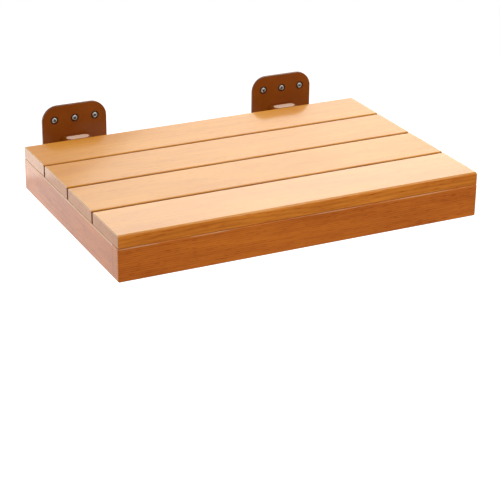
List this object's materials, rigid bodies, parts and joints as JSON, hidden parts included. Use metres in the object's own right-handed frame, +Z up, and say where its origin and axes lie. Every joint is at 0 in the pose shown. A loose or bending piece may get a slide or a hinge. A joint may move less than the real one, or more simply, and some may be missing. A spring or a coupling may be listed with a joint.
{
  "type": "folding wall seat",
  "caption": "Wall-hung folding shower seat: slatted wooden top on a rail frame, with steel channel arms hinged on screwed wall plates so that it folds up flat against the wall.",
  "frame": {"origin": "on the wall, midway between the two wall plates, at half their height", "axes": "+X along the seat's width, +Y into the wall, +Z up; the seat points to -Y and is lowered at rest"},
  "size_m": [0.451, 0.3687, 0.084],
  "materials": {
    "slat_wood": "clear satin varnish",
    "rail_wood": "clear satin varnish",
    "dowel_wood": "bare",
    "brown_paint": "semi-gloss",
    "bright_steel": "plated"
  },
  "bodies": {
    "wall_brackets": {"left_wall_plate": "brown_paint", "left_hinge_bracket": "brown_paint", "left_hinge_bolt": "bright_steel", "left_hinge_nut": "bright_steel", "left_wall_screws": "bright_steel", "right_wall_plate": "brown_paint", "right_hinge_bracket": "brown_paint", "right_hinge_bolt": "bright_steel", "right_hinge_nut": "bright_steel", "right_wall_screws": "bright_steel"},
    "seat": {"rear_slat": "slat_wood", "rear_middle_slat": "slat_wood", "front_middle_slat": "slat_wood", "front_slat": "slat_wood", "front_rail": "rail_wood", "left_side_rail": "rail_wood", "right_side_rail": "rail_wood", "front_rail_dowels": "dowel_wood", "left_slat_dowels": "dowel_wood", "right_slat_dowels": "dowel_wood", "corner_dowels": "dowel_wood", "left_arm": "brown_paint", "left_arm_screws": "bright_steel", "left_hinge_sleeve": "bright_steel", "right_arm": "brown_paint", "right_arm_screws": "bright_steel", "right_hinge_sleeve": "bright_steel"}
  },
  "joints": [
    {"name": "seat_fold", "type": "hinge", "parent": "wall_brackets", "child": "seat", "pos_m": [0, -0.0302, -0.0105], "axis": [-1, 0, 0], "range_deg": [0, 90]}
  ]
}
